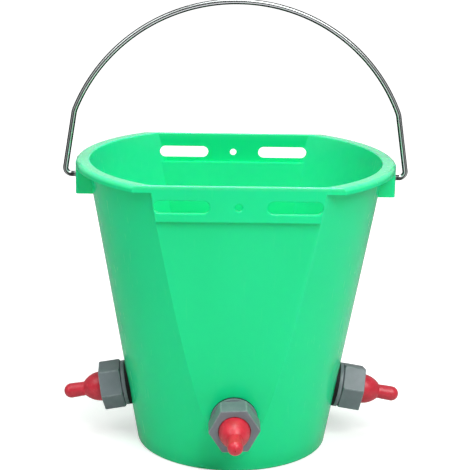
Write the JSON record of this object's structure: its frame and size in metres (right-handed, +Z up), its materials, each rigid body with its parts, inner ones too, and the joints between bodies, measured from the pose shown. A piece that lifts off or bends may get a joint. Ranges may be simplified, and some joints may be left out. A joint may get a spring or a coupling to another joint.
{
  "type": "multi teat lamb feeder",
  "caption": "Green feeding bucket with flat hanging sides, a wire bail and screw-on red rubber teats low in its wall, each fed through a check valve.",
  "frame": {"origin": "middle of the base, on the plane of the foot ring", "axes": "+Z up, -Y out of the front flat side and its teat, +X towards the right-hand ear"},
  "size_m": [0.3174, 0.2694, 0.4145],
  "materials": {
    "bucket_plastic": "satin moulded polypropylene",
    "bail_wire": "bright zinc plate",
    "fitting_plastic": "moulded, satin",
    "seal_rubber": "matt",
    "valve_plastic": "moulded, smooth",
    "teat_rubber": "soft, slightly glossy"
  },
  "bodies": {
    "feeder": {"bucket": "bucket_plastic", "front_valve_body": "fitting_plastic", "front_outer_seal": "seal_rubber", "front_inner_seal": "seal_rubber", "front_lock_nut": "fitting_plastic", "front_ball_retainer": "valve_plastic", "left_valve_body": "fitting_plastic", "left_outer_seal": "seal_rubber", "left_inner_seal": "seal_rubber", "left_lock_nut": "fitting_plastic", "left_ball_retainer": "valve_plastic", "right_valve_body": "fitting_plastic", "right_outer_seal": "seal_rubber", "right_inner_seal": "seal_rubber", "right_lock_nut": "fitting_plastic", "right_ball_retainer": "valve_plastic"},
    "bail_wire": {"bail": "bail_wire"},
    "front_teat_body": {"front_teat": "teat_rubber"},
    "front_nut_body": {"front_collar_nut": "fitting_plastic"},
    "front_ball_body": {"front_valve_ball": "valve_plastic"},
    "left_teat_body": {"left_teat": "teat_rubber"},
    "left_nut_body": {"left_collar_nut": "fitting_plastic"},
    "left_ball_body": {"left_valve_ball": "valve_plastic"},
    "right_teat_body": {"right_teat": "teat_rubber"},
    "right_nut_body": {"right_collar_nut": "fitting_plastic"},
    "right_ball_body": {"right_valve_ball": "valve_plastic"}
  },
  "joints": [
    {"name": "bail_swing", "type": "hinge", "parent": "feeder", "child": "bail_wire", "pos_m": [0, 0, 0.2535], "axis": [1, 0, 0], "range_deg": [-134, 134]},
    {"name": "front_teat_travel", "type": "slide", "parent": "feeder", "child": "front_teat_body", "axis": [0, -0.9965, -0.0839], "range_m": [0, 0.008]},
    {"name": "front_nut_turn", "type": "hinge", "parent": "front_teat_body", "child": "front_nut_body", "pos_m": [0, -0.09392, 0.053], "axis": [0, -0.9965, -0.0839], "range_deg": [0, 720]},
    {"name": "front_ball_travel", "type": "slide", "parent": "feeder", "child": "front_ball_body", "axis": [0, -0.9965, -0.0839], "range_m": [-0.0037, 0]},
    {"name": "left_teat_travel", "type": "slide", "parent": "feeder", "child": "left_teat_body", "axis": [-0.985, 0, -0.1724], "range_m": [0, 0.008]},
    {"name": "left_nut_turn", "type": "hinge", "parent": "left_teat_body", "child": "left_nut_body", "pos_m": [-0.0976, 0, 0.052], "axis": [-0.985, 0, -0.1724], "range_deg": [0, 720]},
    {"name": "left_ball_travel", "type": "slide", "parent": "feeder", "child": "left_ball_body", "axis": [-0.985, 0, -0.1724], "range_m": [-0.0037, 0]},
    {"name": "right_teat_travel", "type": "slide", "parent": "feeder", "child": "right_teat_body", "axis": [0.985, 0, -0.1724], "range_m": [0, 0.008]},
    {"name": "right_nut_turn", "type": "hinge", "parent": "right_teat_body", "child": "right_nut_body", "pos_m": [0.0976, 0, 0.052], "axis": [0.985, 0, -0.1724], "range_deg": [0, 720]},
    {"name": "right_ball_travel", "type": "slide", "parent": "feeder", "child": "right_ball_body", "axis": [0.985, 0, -0.1724], "range_m": [-0.0037, 0]}
  ],
  "couplings": [
    {"joint": "front_teat_travel", "follows": "front_nut_turn", "m_per_rad": 0.00063662},
    {"joint": "left_teat_travel", "follows": "left_nut_turn", "m_per_rad": 0.00063662},
    {"joint": "right_teat_travel", "follows": "right_nut_turn", "m_per_rad": 0.00063662}
  ]
}
